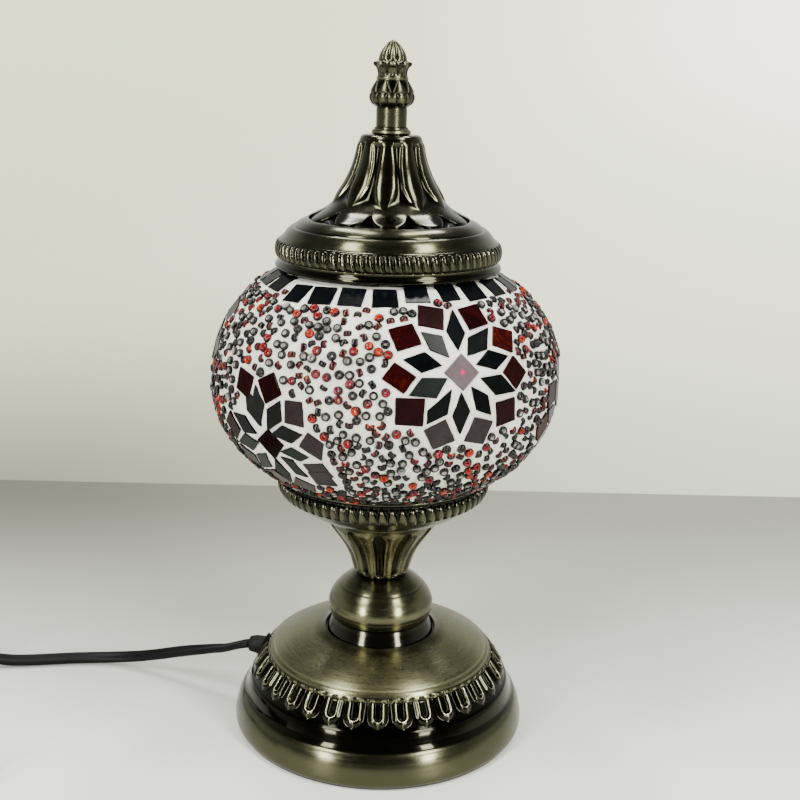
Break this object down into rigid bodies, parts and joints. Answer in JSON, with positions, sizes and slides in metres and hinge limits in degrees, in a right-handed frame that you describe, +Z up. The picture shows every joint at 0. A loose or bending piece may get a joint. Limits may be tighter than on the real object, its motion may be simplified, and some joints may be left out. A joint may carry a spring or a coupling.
{
  "type": "mosaic glass table lamp",
  "caption": "Table lamp with a beaded and tiled glass globe in a brass cup on a turned stem and weighted base, with a pierced lift-off cap, screwed finial and corded rocker switch.",
  "frame": {"origin": "on the table, under the centre of the round base", "axes": "+Z up along the stem; the cord leaves the base towards -X; -Y is the front"},
  "size_m": [0.3079, 0.1298, 0.2559],
  "materials": {
    "antique_brass": "antiqued, brushed round, dark in the hollows",
    "plain_brass": "plain turned",
    "zinc_steel": "zinc plated",
    "cast_iron": "rough cast",
    "globe_glass": "blown, frosted inside",
    "grout": "white plaster grout",
    "black_glass": "polished cut glass",
    "red_glass": "polished cut glass",
    "mauve_glass": "polished cut glass",
    "beads": "seed beads, clear, smoky and red",
    "bulb_glass": "frosted",
    "bulb_metal": "bright",
    "rubber": "matt",
    "felt": "black felt",
    "cord_black": "satin PVC",
    "black_plastic": "moulded, satin"
  },
  "bodies": {
    "lamp": {"globe_glass": "globe_glass", "globe_grout": "grout", "rim_tiles": "black_glass", "flower_centre_tiles": "mauve_glass", "flower_petal_tiles": "black_glass", "flower_square_tiles": "red_glass", "seed_beads": "beads", "gallery_cup": "antique_brass", "gallery_gasket": "rubber", "fluted_stem": "antique_brass", "stem_ball": "antique_brass", "stem_collar": "antique_brass", "base_shell": "antique_brass", "base_weight": "cast_iron", "base_cover": "zinc_steel", "base_felt": "felt", "lamp_pipe": "plain_brass", "pipe_nuts": "plain_brass", "pipe_washers": "zinc_steel", "socket_cup": "plain_brass", "socket_body": "black_plastic", "socket_shell": "plain_brass", "socket_contact": "plain_brass", "socket_screws": "zinc_steel", "inner_lead": "cord_black", "cord_strain_relief": "rubber", "cord_run": "cord_black", "cord_link": "cord_black", "cord_coil": "cord_black", "cord_tail": "cord_black", "cord_tie": "black_plastic", "switch_base": "black_plastic", "switch_cover": "black_plastic", "switch_contacts": "plain_brass", "switch_screws": "zinc_steel", "plug_body": "black_plastic", "plug_blades": "plain_brass"},
    "cap": {"neck_sleeve": "antique_brass", "neck_ferrule": "antique_brass", "cap_stud": "zinc_steel", "cap_bell": "antique_brass", "cap_skirt": "antique_brass", "cap_washer": "zinc_steel", "cap_nuts": "zinc_steel", "cap_spider": "zinc_steel", "cap_springs": "zinc_steel", "cap_rivets": "zinc_steel"},
    "finial_knob": {"finial": "antique_brass"},
    "bulb": {"bulb_glass": "bulb_glass", "bulb_mount": "bulb_glass", "bulb_screw_cap": "bulb_metal", "bulb_insulator": "black_plastic", "bulb_contact": "bulb_metal"},
    "rocker": {"switch_rocker": "black_plastic"}
  },
  "joints": [
    {"name": "cap_lift", "type": "slide", "parent": "lamp", "child": "cap", "axis": [0, 0, 1], "range_m": [0, 0.06]},
    {"name": "finial_turn", "type": "hinge", "parent": "cap", "child": "finial_knob", "pos_m": [0, 0, 0.2335], "axis": [0, 0, 1], "range_deg": [0, 1440]},
    {"name": "bulb_turn", "type": "hinge", "parent": "lamp", "child": "bulb", "pos_m": [0, 0, 0.1145], "axis": [0, 0, 1], "range_deg": [0, 1080]},
    {"name": "switch_rock", "type": "hinge", "parent": "lamp", "child": "rocker", "pos_m": [-0.195, 0.0282, 0.011], "axis": [0, -1, 0], "range_deg": [0, 16]}
  ]
}
